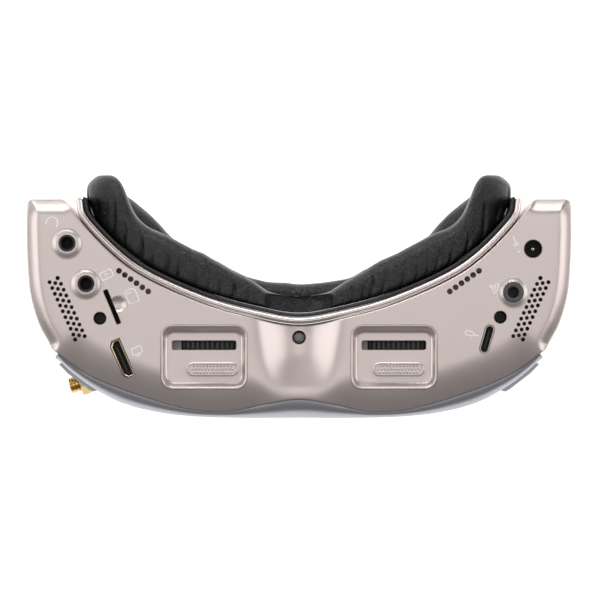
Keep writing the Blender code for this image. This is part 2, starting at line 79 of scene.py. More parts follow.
# ------------------------------ curves in the plan
def catmull(points, count):
    """Catmull-Rom curve through the points, as count points equally spaced along its length.

    One that ends on the centre plane is level there, so that it meets its mirror image smoothly.
    """
    p = np.array(points, float)
    beyond = p[-2] * [-1, 1] if p[-1, 0] == 0 else 2 * p[-1] - p[-2]
    p = np.vstack([2 * p[0] - p[1], p, beyond])
    t = np.linspace(0, 1, 40, endpoint=False)[:, None]
    runs = []
    for a, b, c, d in zip(p, p[1:], p[2:], p[3:]):
        runs.append(0.5 * (2 * b + (c - a) * t + (2 * a - 5 * b + 4 * c - d) * t ** 2
                           + (3 * b - a - 3 * c + d) * t ** 3))
    path = resample(np.vstack(runs + [p[-2:-1]]), count)
    path[-1] = points[-1]
    return path


def resample(path, count):
    """The path as count points equally spaced along its length, or at the given fractions of it."""
    steps = np.r_[0, np.cumsum(np.linalg.norm(np.diff(path, axis=0), axis=1))]
    where = np.linspace(0, 1, count) if np.isscalar(count) else np.asarray(count)
    return np.stack([np.interp(where * steps[-1], steps, path[:, i]) for i in range(path.shape[1])], 1)


def mirrored(half):
    """A right-half path that ends on the centre plane, carried on to its mirror image."""
    return np.vstack([half, (half * [-1, 1])[-2::-1]])


def side_normals(path):
    """Unit normals to the right of an open path's direction of travel."""
    along = np.gradient(path, axis=0)
    along /= np.linalg.norm(along, axis=1)[:, None]
    return np.stack([along[:, 1], -along[:, 0]], 1)


def distance_to(points, path):
    """Distance from each plan point to the nearest place on a path of straight pieces."""
    best = np.full(len(points), np.inf)
    for a, b in zip(path[:-1], path[1:]):
        run = b - a
        t = np.clip(((points - a) @ run) / max(run @ run, 1e-12), 0, 1)
        best = np.minimum(best, np.linalg.norm(points - (a + t[:, None] * run), axis=1))
    return best


RIM = mirrored(catmull([(80.6, 35.2), (77.5, 26.4), (60.0, 9.9), (35.2, -1.9), (14.5, -7.7), (0.0, -9.9)], 120))
SIDE = catmull([(98.2, 32.6), (98.3, 19.6), (97.2, 2.3), (94.2, -9.2), (90.0, -17.3)], 60)
PARTING = catmull([(90.0, -17.3), (87.4, -20.3), (72.4, -30.1), (44.6, -39.6), (27.0, -41.6), (12.0, -38.9),
                   (0.0, -37.2)], 160)
FRONT = catmull([(90.0, -17.3), (87.2, -21.8), (83.0, -26.5), (75.4, -32.4), (65.3, -38.0), (54.0, -41.3),
                 (40.0, -43.2), (20.0, -43.9), (0.0, -43.9)], 160)
EAR_END = np.array([(78.3, 26.0), (81.4, 30.4), (84.4, 34.5), (85.6, 35.2), (91.0, 35.2), (96.6, 35.2),
                    (97.8, 34.3), (98.2, 32.6)])


# ------------------------------ meshes
def mesh_object(name, points, faces, smooth_angle=35.0):
    """A piece from millimetre points and index faces; edges sharper than the angle stay crisp."""
    mesh = bpy.data.meshes.new(name)
    mesh.from_pydata((np.asarray(points, float) * MM).tolist(), [], [list(map(int, f)) for f in faces])
    mesh.validate()
    made = bpy.data.objects.new(name, mesh)
    bpy.context.scene.collection.objects.link(made)
    finish_shading(made, smooth_angle)
    return made


def finish_shading(made, smooth_angle=35.0):
    """Smooth shading but for sharp edges and for broad flat faces."""
    mesh = made.data
    mesh.shade_smooth()
    areas = np.zeros(len(mesh.polygons))
    mesh.polygons.foreach_get("area", areas)
    mesh.polygons.foreach_set("use_smooth", areas < 18 * MM * MM)
    mesh.set_sharp_from_angle(angle=math.radians(smooth_angle))


def grid_faces(rows, columns, wrap_rows=False, wrap_columns=False, flip=False):
    """Index faces of a rows x columns grid of points, closed round either way if asked."""
    i = np.arange(rows if wrap_rows else rows - 1)
    j = np.arange(columns if wrap_columns else columns - 1)
    i, j = np.meshgrid(i, j, indexing="ij")
    a = i * columns + j
    b = i * columns + (j + 1) % columns
    c = ((i + 1) % rows) * columns + (j + 1) % columns
    d = ((i + 1) % rows) * columns + j
    quads = np.stack([a, b, c, d], -1).reshape(-1, 4)
    return quads[:, ::-1] if flip else quads


def weld(made, distance=0.0005, outward=False):
    """Merge points closer than the distance (mm) and, if asked, turn all faces outward."""
    shape = bmesh.new()
    shape.from_mesh(made.data)
    bmesh.ops.remove_doubles(shape, verts=shape.verts, dist=distance * MM)
    if outward:
        bmesh.ops.recalc_face_normals(shape, faces=shape.faces)
    shape.to_mesh(made.data)
    shape.free()
    return made


def joined(name, parts, smooth_angle=35.0):
    """One piece from several (points, faces) lists."""
    points, faces, base = [], [], 0
    for p, f in parts:
        p = np.asarray(p, float).reshape(-1, 3)
        points.append(p)
        faces += [[int(k) + base for k in face] for face in f]
        base += len(p)
    return mesh_object(name, np.vstack(points), faces, smooth_angle)


def baked(made):
    """Replace the piece's mesh with its modified one and drop the modifiers."""
    graph = bpy.context.evaluated_depsgraph_get()
    graph.update()
    mesh = bpy.data.meshes.new_from_object(made.evaluated_get(graph), depsgraph=graph)
    made.modifiers.clear()
    old, made.data = made.data, mesh
    bpy.data.meshes.remove(old)
    return made


def carve(made, cutter, crossing=False, smooth_angle=32.0):
    """Cut the piece with another closed piece, which is then removed; crossing if it meets itself."""
    edit = made.modifiers.new("cut", "BOOLEAN")
    edit.operation = "DIFFERENCE"
    edit.solver = "EXACT"
    edit.use_self = crossing
    edit.object = cutter
    baked(made)
    bpy.data.objects.remove(cutter, do_unlink=True)
    finish_shading(made, smooth_angle)
    return made


def at_height(outline, z):
    """A plan outline as points at the given height."""
    return np.c_[np.asarray(outline, float), np.full(len(outline), z)]


def stacked(rings):
    """(points, faces) of a closed solid through rings of equally many points, its end rings filled."""
    rings = np.asarray(rings, float)
    levels, count = rings.shape[:2]
    last = (levels - 1) * count
    faces = grid_faces(levels, count, False, True).tolist()
    return rings.reshape(-1, 3), faces + [list(range(count))[::-1], list(range(last, last + count))]


def prism(outline, low, high):
    """(points, faces) of an anticlockwise outline raised from low to high."""
    return stacked([at_height(outline, low), at_height(outline, high)])


def spun(turn, radius, height):
    """(points, faces) of a closed loop carried round Z, its radius given at every turn and height."""
    plan = radius[..., None] * np.stack([np.cos(turn), np.sin(turn)], 1)[:, None]
    points = np.dstack([plan, np.broadcast_to(height, radius.shape)])
    return points.reshape(-1, 3), grid_faces(*radius.shape, True, True)


def turned(profile, sides=64):
    """(points, faces) of a (radius, height) loop turned about Z; the loop runs anticlockwise in (r, z)."""
    profile = np.asarray(profile, float)
    points, faces = spun(np.linspace(0, 2 * np.pi, sides, endpoint=False),
                         np.broadcast_to(profile[:, 0], (sides, len(profile))), profile[:, 1])
    return points, faces[:, ::-1]


def placed(part, centre, axis=(0, 0, 1), turn=0.0):
    """Turn (degrees) a (points, faces) part about Z, aim its Z along the axis and move it to the centre."""
    points, faces = part
    spin = Matrix.Rotation(math.radians(turn), 3, "Z")
    aim = Vector((0, 0, 1)).rotation_difference(Vector(axis)).to_matrix() @ spin
    return np.asarray(points) @ np.array(aim).T + np.asarray(centre, float), faces


def slot_outline(length, width, radius, steps=6):
    """A rectangle with round corners, anticlockwise, centred on the origin."""
    turn = np.linspace(0, np.pi / 2, steps + 1)
    corners = []
    for quarter, (sx, sy) in enumerate(((1, 1), (-1, 1), (-1, -1), (1, -1))):
        a = turn + quarter * np.pi / 2
        corners.append(np.stack([sx * (length / 2 - radius) + radius * np.cos(a),
                                 sy * (width / 2 - radius) + radius * np.sin(a)], 1))
    return np.vstack(corners)


def turned_outline(outline, angle, centre):
    """The outline turned by the angle in degrees and moved to the centre."""
    c, s = math.cos(math.radians(angle)), math.sin(math.radians(angle))
    return outline @ np.array([[c, s], [-s, c]]) + np.asarray(centre, float)


def smoothstep(t):
    """0 to 1 along 3t^2 - 2t^3, held outside that."""
    t = np.clip(t, 0, 1)
    return t * t * (3 - 2 * t)


def soft_ramp(t, ease):
    """0 below t = 0 and t above it, eased over about the given width."""
    return 0.5 * (t + np.sqrt(t * t + ease * ease))


def quarter_round(d, radius):
    """How far a round edge of the radius has dropped at distance d from the outline."""
    inside = np.clip(1 - d / radius, 0, 1)
    return radius * (1 - np.sqrt(1 - inside ** 2))


# ------------------------------ the housing's surface
# The port side is one soft sheet: flat at TOP, chamfered along the outer sides and ear ends, rolled
# down towards the parting line, scooped for the nose, and swollen a little round the jacks.
SIDE_CHAMFER = (3.6, 2.7)            # width in the plan, depth
EAR_CHAMFER = (4.7, 3.1)
FRONT_ROLL = (12.5, 27.0)            # width in the plan, radius
SOFT_MEETING = 2.5                   # power of the mean that blends the falls
LIP = 0.55                           # small round where a face turns into a wall
SADDLE_AXIS = 77.0                   # height of the nose scoop's axis
SADDLE_RADII = ((20.0, 23.0), (-40.0, 17.4))      # (y, radius) at two places along the scoop
BOSSES = ((-83.5, 19.1, 5.5), (-76.7, 4.5, 5.5), (77.2, 1.4, 5.3))      # x, y, radius
BOSS_RISE = 0.56
DIMPLE = (-65.3, -3.0, 2.7, 0.7)     # x, y, radius, depth of the finger dimple at the card slot
NEAR = np.array([0, 0.03, 0.1, 0.22, 0.38, 0.56, 0.9, 1.5, 2.3, 3.1, 4.0])       # rows beside an edge, mm


def inner_edge(count):
    """The shell's edge beside the faceplate: the rim's free part, moved out by the gap."""
    half = RIM[:len(RIM) // 2 + 1]
    half = half - 0.45 * side_normals(half)
    return resample(half[half[:, 1] < 26.0], count)


def drop(points):
    """How far the sheet lies below its flat at each plan point of the right half.

    The falls of the side chamfer, the ear chamfer and the front roll are blended by a power mean,
    so that their meetings are soft. The roll narrows beside the ears and across the nose.
    """
    ear = distance_to(points, EAR_END[3:])
    side = distance_to(points, SIDE)
    rolled = distance_to(points, PARTING)
    fall = (SIDE_CHAMFER[1] * soft_ramp(1 - side / SIDE_CHAMFER[0], 0.3) ** 1.2) ** SOFT_MEETING
    fall += (EAR_CHAMFER[1] * soft_ramp(1 - ear / EAR_CHAMFER[0], 0.3) ** 1.2) ** SOFT_MEETING
    width, radius = FRONT_ROLL
    x = np.abs(points[..., 0])
    width = width * (0.3 + 0.7 * smoothstep((92 - x) / 14)) * (0.45 + 0.55 * smoothstep((x - 4) / 16))
    inside = np.clip(width - rolled, 0, None)
    fall += (radius - np.sqrt(radius ** 2 - inside ** 2)) ** SOFT_MEETING
    return fall ** (1 / SOFT_MEETING)


def saddle_fall(x, y):
    """Depth of the nose scoop, a cone lying along Y, eased into the flat and run out before the front."""
    (y0, r0), (y1, r1) = SADDLE_RADII
    radius = r0 + (y - y0) * (r1 - r0) / (y1 - y0)
    arch = SADDLE_AXIS - np.sqrt(np.clip(radius ** 2 - x ** 2, 0.01, None))
    return soft_ramp(TOP - arch, 2.6) * (1 - 0.7 * smoothstep((-20 - y) / 18))


def features(x, y):
    """Rise of the jack bosses less the finger dimple."""
    rise = np.zeros_like(x)
    for cx, cy, radius in BOSSES:
        rise += BOSS_RISE * smoothstep((radius - np.hypot(x - cx, y - cy)) / 1.7)
    cx, cy, radius, depth = DIMPLE
    return rise - depth * np.sqrt(np.clip(1 - (np.hypot(x - cx, y - cy) / radius) ** 2, 0, None))


def sheet_grid(across=46, along=190):
    """Plan points of the whole sheet as rows from the faceplate to the outer edge.

    Each column is the straight line between the two edges at the same fraction of their lengths,
    bent at the ear so that the first column is the ear's own end.
    """
    t = np.unique(np.r_[NEAR / 120, np.linspace(0, 1, along)])
    inner = resample(inner_edge(400), t)
    outer = resample(np.vstack([SIDE, PARTING[1:]]), t)
    width = np.linalg.norm(outer - inner, axis=1)[:, None]
    edge = NEAR[None, :] / width
    middle = edge[:, -1:] + (1 - 2 * edge[:, -1:]) * np.linspace(0, 1, across)[None, 1:-1]
    s = np.hstack([edge, middle, 1 - edge[:, ::-1]])
    plan = inner[:, None] + (outer - inner)[:, None] * s[..., None]
    ear = np.vstack([inner[:1], EAR_END[1:-1], outer[:1]])
    bend = resample(ear, s[0]) - (inner[0] + (outer[0] - inner[0]) * s[0][:, None])
    plan += bend[None] * (1 - t[:, None, None]) ** 9
    plan[-1, :, 0] = 0.0
    return plan


def sheet_height(x, y):
    """Height of the port side's surface at any plan point of either half."""
    right = np.stack([np.abs(x).ravel(), y.ravel()], 1)
    return TOP - drop(right).reshape(x.shape) - saddle_fall(x, y)


def shell(name, rise, wall_to, thickness=2.0):
    """One housing shell: the sheet at z = rise(x, y, fall), its walls down to wall_to, made solid.

    The fall is the edges' drop and their small round lip. The sheet's rim is repeated in four steps
    down to wall_to, and the whole is given its thickness inwards.
    """
    half = sheet_grid()
    columns, rows = half.shape[:2]
    flat = half.reshape(-1, 2)
    fall = drop(flat)
    edges = [half[0], half[:, -1], half[:, 0]]
    lip = np.min([distance_to(flat, e) for e in edges], axis=0)
    fall = (fall + quarter_round(lip, LIP)).reshape(columns, rows)
    full = np.concatenate([half, half[-2::-1] * [-1, 1]])
    fall = np.concatenate([fall, fall[-2::-1]])
    z = rise(full[..., 0], full[..., 1], fall)
    columns = len(full)
    points = np.dstack([full, z]).reshape(-1, 3)
    faces = grid_faces(columns, rows).tolist()
    index = np.arange(columns * rows).reshape(columns, rows)
    loop = np.r_[index[0, :-1], index[:-1, -1], index[-1, :0:-1], index[:0:-1, 0]]
    levels = np.linspace(0, 1, 5)[1:]
    base = len(points)
    rim = points[loop]
    wall = [np.c_[rim[:, :2], rim[:, 2] + (wall_to - rim[:, 2]) * k] for k in levels]
    count = len(loop)
    rings = np.vstack([loop, base + np.arange(count * len(levels)).reshape(len(levels), count)])
    for upper, lower in zip(rings[:-1], rings[1:]):
        faces += np.stack([upper, lower, np.roll(lower, -1), np.roll(upper, -1)], -1).tolist()
    made = mesh_object(name, np.vstack([points] + wall), faces)
    shape = bmesh.new()
    shape.from_mesh(made.data)
    bmesh.ops.recalc_face_normals(shape, faces=shape.faces)
    shape.faces.ensure_lookup_table()
    if (shape.faces[rows * columns // 3].normal.z > 0) != (z.mean() > wall_to):
        bmesh.ops.reverse_faces(shape, faces=shape.faces)
    shape.to_mesh(made.data)
    shape.free()
    solid = made.modifiers.new("wall", "SOLIDIFY")
    solid.thickness = thickness * MM
    solid.offset = -1
    return baked(made)


def sunk(outline, place, low, high, chamfer=0.22, angle=0.0, grow=0.6):
    """(points, faces) of a cutter: a straight shaft that opens out by the chamfer at the surface.

    outline is a function of the growth in mm, so that the opening keeps its shape.
    """
    steps = [(0.0, low), (0.0, high - chamfer), (chamfer + grow, high + grow)]
    return stacked([at_height(turned_outline(outline(g), angle, place), z) for g, z in steps])


def round_outline(radius, sides=40):
    """A circle as a function of its growth."""
    turn = np.linspace(0, 2 * np.pi, sides, endpoint=False)
    return lambda grow: np.stack([np.cos(turn), np.sin(turn)], 1) * (radius + grow)


def box_outline(length, width, corner, steps=6):
    """A round-cornered rectangle as a function of its growth."""
    return lambda grow: slot_outline(length + 2 * grow, width + 2 * grow, corner + grow, steps)


def video_outline(length=13.9, width=3.8):
    """A slot with two chamfered corners on one long side."""
    def outline(grow):
        x, y, cut = length / 2 + grow, width / 2 + grow, 1.35
        return np.array([(x, y), (-x, y), (-x, -y + cut), (-x + cut * 1.1, -y), (x - cut * 1.1, -y),
                         (x, -y + cut)])
    return outline


# Places are plan (x, y), and turns are in degrees
JACKS = {"headphone_jack": (-83.5, 19.1), "av_jack": (-76.7, 4.5), "tracker_jack": (77.2, 1.4)}
DC = (84.3, 17.1)
VIDEO = ((-63.8, -22.5), -66.4)
USB = ((67.7, -15.4), 74.0)
CARD = ((-67.3, -3.8), -67.6)
SCREWS = ((-71.7, -7.9), (72.5, -7.5))
CENTRE_SCREW = (0.0, -14.8)
BAY_OUT = math.radians(16.8)         # lean of the antenna axes from X towards the front
BAY_CENTRE = (77.0, -30.8)
STRAP_SLOT = (3.6, 8.0, 14.0)        # the strap's opening in each ear
TEMPLE = 72.0                        # plan X where the shells' inner walls start again


def vents():
    """(x, y, radius) of the vent holes on both sides."""
    holes = [(86.9, 6.6, 0.8), (80.6, -15.5, 0.8)]
    for row in range(10):
        holes += [(89.8 - 0.95 * row - 2.05 * i, 5.1 - 2.09 * row - 0.3 * i, 0.74) for i in range(3)]
    holes += [(64.8 - 2.1 * i, 9.2 - 1.48 * i, 1.06) for i in range(6)]
    return [(side * x, y, r) for side in (-1, 1) for x, y, r in holes]


def bay_cutter(side, grow=0.4, proud=12.0, depth=9.5):
    """The corner bay's block, square to the antenna axis and larger than the module by grow."""
    out = np.array([side * math.cos(BAY_OUT), -math.sin(BAY_OUT)])
    across = np.array([-side * math.sin(BAY_OUT), -math.cos(BAY_OUT)])
    middle = BAY_CENTRE * np.array([side, 1.0]) + out * (proud - depth - grow) / 2 - across * 2.4
    a, b = out * (depth + grow + proud) / 2, across * (13.2 + 2 * grow) / 2
    corners = [middle + a + b, middle + a - b, middle - a - b, middle - a + b]
    if side > 0:
        corners = corners[::-1]
    return prism(corners[::-1], SPLIT - 17 - grow, SPLIT + 17 + grow)


def box_part(size, centre):
    """(points, faces) of a block."""
    x, y, z = np.array(size) / 2
    cx, cy, cz = centre
    return prism([(cx - x, cy - y), (cx + x, cy - y), (cx + x, cy + y), (cx - x, cy + y)], cz - z, cz + z)


def rim_opening(low, high):
    """A cutter that clears the shells' wall behind the faceplate, where the optics look out.

    It follows the rim between the temples, from low up to high or to just under the nose scoop.
    """
    path = RIM[np.abs(RIM[:, 0]) < TEMPLE]
    normal = side_normals(path)
    near, far = path + 0.6 * normal, path - 3.4 * normal
    under_scoop = TOP - saddle_fall(path[:, 0], path[:, 1] - 1.5) - 2.9
    roof = np.minimum(high, under_scoop) if high > SPLIT + 2 else np.full(len(path), high)
    section = [at_height(near, low), at_height(far, low), np.c_[far, roof], np.c_[near, roof]]
    return stacked(np.stack(section, 1))


def eye_windows():
    """Cutters for the two openings through the faceplate and the foam's carrier, along Y."""
    parts = []
    for side in (-1, 1):
        points, faces = prism(slot_outline(44, 42, 12, 8), -30, 40)
        points = np.c_[points[:, 0] + side * 36.0, points[:, 2], points[:, 1] + SPLIT]
        parts.append((points, [f[::-1] for f in faces]))
    return joined("cutter", parts)


def underside():
    """The port side's shell with every opening cut through it."""
    def height(x, y, fall):
        return TOP - fall - saddle_fall(x, y) + features(x, y)

    made = shell("port_side_shell", height, SPLIT + SEAM / 2)
    low, high = TOP - 9, TOP
    cutters = []
    for name, (x, y) in JACKS.items():
        radius = 3.65 if name == "tracker_jack" else 2.95
        cutters.append(sunk(round_outline(radius), (x, y), low, high + BOSS_RISE, 0.35))
    cutters.append(sunk(round_outline(3.2), DC, low, high, 0.35))
    cutters += [sunk(round_outline(2.25), place, low, high, 0.3) for place in SCREWS]
    cutters.append(sunk(round_outline(2.5), CENTRE_SCREW, 48, 57.4, 0.3))
    cutters.append(sunk(video_outline(14.4, 4.3), VIDEO[0], low, high, 0.3, VIDEO[1]))
    cutters.append(sunk(box_outline(10.4, 3.3, 1.6), USB[0], low, high, 0.4, USB[1]))
    cutters.append(sunk(box_outline(13.2, 1.7, 0.4), CARD[0], low, high, 0.25, CARD[1]))
    cutters += [sunk(round_outline(r, 16), (x, y), low, high, 0.07, 0.0, 0.07) for x, y, r in vents()]
    for side in PANELS:
        x, y = PANELS[side][:2]
        cutters.append(sunk(box_outline(31.5, 23.5, 4.4), (x, y), 50, high + 3, 0.0, 0.0, 0.0))
    cutters += [bay_cutter(side) for side in (-1, 1)]
    cutters += [box_part(STRAP_SLOT, (side * 91.5, 35.2, 38.0)) for side in (-1, 1)]
    cutters.append(rim_opening(SPLIT - 2, TOP - 2.5))
    return carve(made, joined("cutter", cutters), True)


def topside():
    """The visor's top shell, a shallower mirror of the sheet, open for the dials and buttons."""
    made = shell("visor_top_shell", lambda x, y, fall: fall * 0.85, SPLIT - SEAM / 2)
    cutters = []
    for side in (-1, 1):
        for x, y, radius in ((82.0, 1.0, 8.35), (84.0, 18.5, 3.55)):
            points, faces = sunk(round_outline(radius, 56), (side * x, y), -8, 0.0, 0.25)
            cutters.append((points * [1, 1, -1], [f[::-1] for f in faces]))
        cutters.append(bay_cutter(side))
        cutters.append(box_part(STRAP_SLOT, (side * 91.5, 35.2, 24.0)))
    cutters.append(rim_opening(2.5, SPLIT + 2))
    return carve(made, joined("cutter", cutters), True)


def front_cover():
    """The front band.

    Each section runs from the parting line out to the foremost line as a quarter ellipse, down the
    front, and back the same way to the visor's top, with a short tuck behind either edge.
    """
    t = np.linspace(0.05, 1, 150)
    inner, outer = resample(PARTING, t), resample(FRONT, t)
    reach = np.linalg.norm(outer - inner, axis=1)
    inner = inner + (outer - inner) * (0.08 * smoothstep(reach / 3) / np.maximum(reach, 0.3))[:, None]
    fall = drop(inner) + saddle_fall(inner[:, 0], inner[:, 1])
    upper = np.minimum(TOP - fall - 0.03, TOP - 0.4)
    lower = 0.85 * drop(inner) + 0.15
    turn = np.linspace(0, np.pi / 2, 15)
    fold = np.minimum(9.0, 0.3 + 1.3 * reach)[:, None] * (1 - np.cos(turn))
    plan = inner[:, None] + (outer - inner)[:, None] * np.sin(turn)[:, None]
    top = np.dstack([plan, upper[:, None] - fold])
    bottom = np.dstack([plan, lower[:, None] + fold])
    tucks = [np.c_[inner, z][:, None] for z in (upper - 2.5, lower + 2.5)]
    half = np.hstack([tucks[0], top, bottom[:, ::-1], tucks[1]])
    full = np.concatenate([half, half[-2::-1] * [-1, 1, 1]])
    columns, rows = full.shape[:2]
    made = mesh_object("front_band", full.reshape(-1, 3), grid_faces(columns, rows, flip=True).tolist(), 40)
    solid = made.modifiers.new("wall", "SOLIDIFY")
    solid.thickness = 1.8 * MM
    solid.offset = -1
    baked(made)
    carve(made, joined("cutter", [bay_cutter(side) for side in (-1, 1)]))
    return made


# ------------------------------ faceplate, flange and foam
def swept(path, profile, ends=1.1, centre=1.1):
    """(points, faces) of a closed (side, height) profile run along a plan path.

    side is measured to the right of travel. Within the ends' length the section narrows about its
    centre line as a half circle, so each end is round.
    """
    steps = np.r_[0, np.cumsum(np.linalg.norm(np.diff(path, axis=0), axis=1))]
    near = np.minimum(steps, steps[-1] - steps)
    narrow = np.sqrt(np.clip(1 - (1 - np.clip(near / ends, 0, 1)) ** 2, 0.0004, None))
    normal = side_normals(path)
    profile = np.asarray(profile, float)
    side = centre + (profile[None, :, 0] - centre) * narrow[:, None]
    plan = path[:, None] + normal[:, None] * side[..., None]
    return stacked(np.dstack([plan, np.broadcast_to(profile[None, :, 1], side.shape)]))


def dense_ends(path, count):
    """The path resampled evenly, with extra points in its last two millimetres."""
    length = np.linalg.norm(np.diff(path, axis=0), axis=1).sum()
    near = np.array([0, 0.02, 0.08, 0.2, 0.38, 0.6, 0.85, 1.15, 1.6]) / length
    return resample(path, np.unique(np.r_[near, np.linspace(0.015, 0.985, count), 1 - near]))


def faceplate():
    """The metal strip round the face opening: a wall with a rolled top and the same foot."""
    turn = np.linspace(0, np.pi, 9)
    crown = np.c_[1.1 - 1.1 * np.cos(turn), FACE_TOP - 0.75 + 0.75 * np.sin(turn)]
    foot = np.c_[2.2 - crown[:, 0], 1.2 + 0.75 - 0.75 * np.sin(turn)]
    crown[:, 0] = np.clip(crown[:, 0], 0, 2.2)
    made = joined("faceplate_rim", [swept(dense_ends(RIM, 260), np.vstack([crown, foot]))], 50)
    weld(made, outward=True)
    return carve(made, eye_windows())


def rim_offset(distance, start=0.0):
    """The rim's path moved towards the face, with the given length cut from each end."""
    path = RIM + distance * side_normals(RIM)
    length = np.linalg.norm(np.diff(path, axis=0), axis=1).sum()
    return resample(path, np.linspace(start / length, 1 - start / length, 260))


def flange():
    """The foam's carrier plate with a rounded crown, through which the two eye openings are cut."""
    turn = np.linspace(0, np.pi, 9)
    crown = np.c_[0.65 - 0.65 * np.cos(turn), 57.75 + 0.55 * np.sin(turn)]
    foot = np.c_[1.3 - crown[:, 0], 3.65 - 0.65 * np.sin(turn)]
    made = joined("foam_carrier", [swept(rim_offset(2.45), np.vstack([crown, foot]), 0.7, 0.65)], 50)
    weld(made, outward=True)
    return carve(made, eye_windows())


def stitches():
    """Small raised stitches along the carrier's crown, evenly spaced along the seam."""
    path = rim_offset(3.3, 3.0)
    length = np.linalg.norm(np.diff(path, axis=0), axis=1).sum()
    number = int(length / 2.6)
    at = resample(path, (np.arange(number) + 0.5) / number)
    along = np.gradient(at, axis=0)
    along /= np.linalg.norm(along, axis=1)[:, None]
    u, v = np.meshgrid(np.linspace(-1, 1, 7), np.linspace(0, 2 * np.pi, 8, endpoint=False), indexing="ij")
    thick = 0.2 * np.sqrt(np.clip(1 - u ** 4, 0.001, None))
    x, y, z = 0.95 * u, thick * np.cos(v), 0.12 * (1 - u ** 2) + thick * np.sin(v)
    parts = []
    for (px, py), (ax, ay) in zip(at, along):
        parts.append(stacked(np.dstack([px + ax * x - ay * y, py + ay * x + ax * y, 58.2 + z])))
    made = joined("carrier_stitching", parts, 60)
    return weld(made, 0.00001, outward=True)


BASE_LINE = rim_offset(3.95)
BASE_LINE = BASE_LINE[BASE_LINE[:, 0] >= 0][::-1]
# The roll's crest as (distance from the centre plane, y), on the port side and on the visor's top side
CREST_NEAR = np.array([
    (0, 0.2), (5, 0.5), (11, 1.9), (16, 5.3), (20.6, 7.8), (28, 12.3), (37.4, 17.1), (44, 20.4), (48.9, 22.8),
    (54.4, 25.0), (58.5, 28.4), (61.0, 32.8), (62.6, 38.2), (64.5, 42.4), (67, 44.2), (69.6, 44.6),
    (74.0, 44.6), (78, 43.4)])
CREST_FAR = np.array([
    (0, 4.7), (8.6, 5.4), (18.7, 7.0), (28, 12.0), (37.4, 16.6), (44, 19.6), (47.9, 22.6), (50.3, 25.8),
    (55.1, 30.6), (59.9, 34.6), (62.8, 37.0), (66.5, 38.6), (69.6, 39.4), (78, 39.4)])
FOAM_HALF = (70.4, 19.6)             # the ring's centre line, half width and half height
FOAM_THICK = (7.0, 6.5)              # half the roll's thickness at the temples and along the brow
NOSE_CUT = (67.9, 16.6)              # height of the nose cut's axis, and its radius
WRINKLE_PITCH = 4.6
FOLD_PITCH = 7.3


def smooth_interp(x, table, spread=1.6):
    """A table read at x as the mean of a few neighbours, so that its corners are soft."""
    shifts = np.linspace(-spread, spread, 5)
    return np.mean([np.interp(np.abs(np.abs(x) + k), table[:, 0], table[:, 1]) for k in shifts], axis=0)


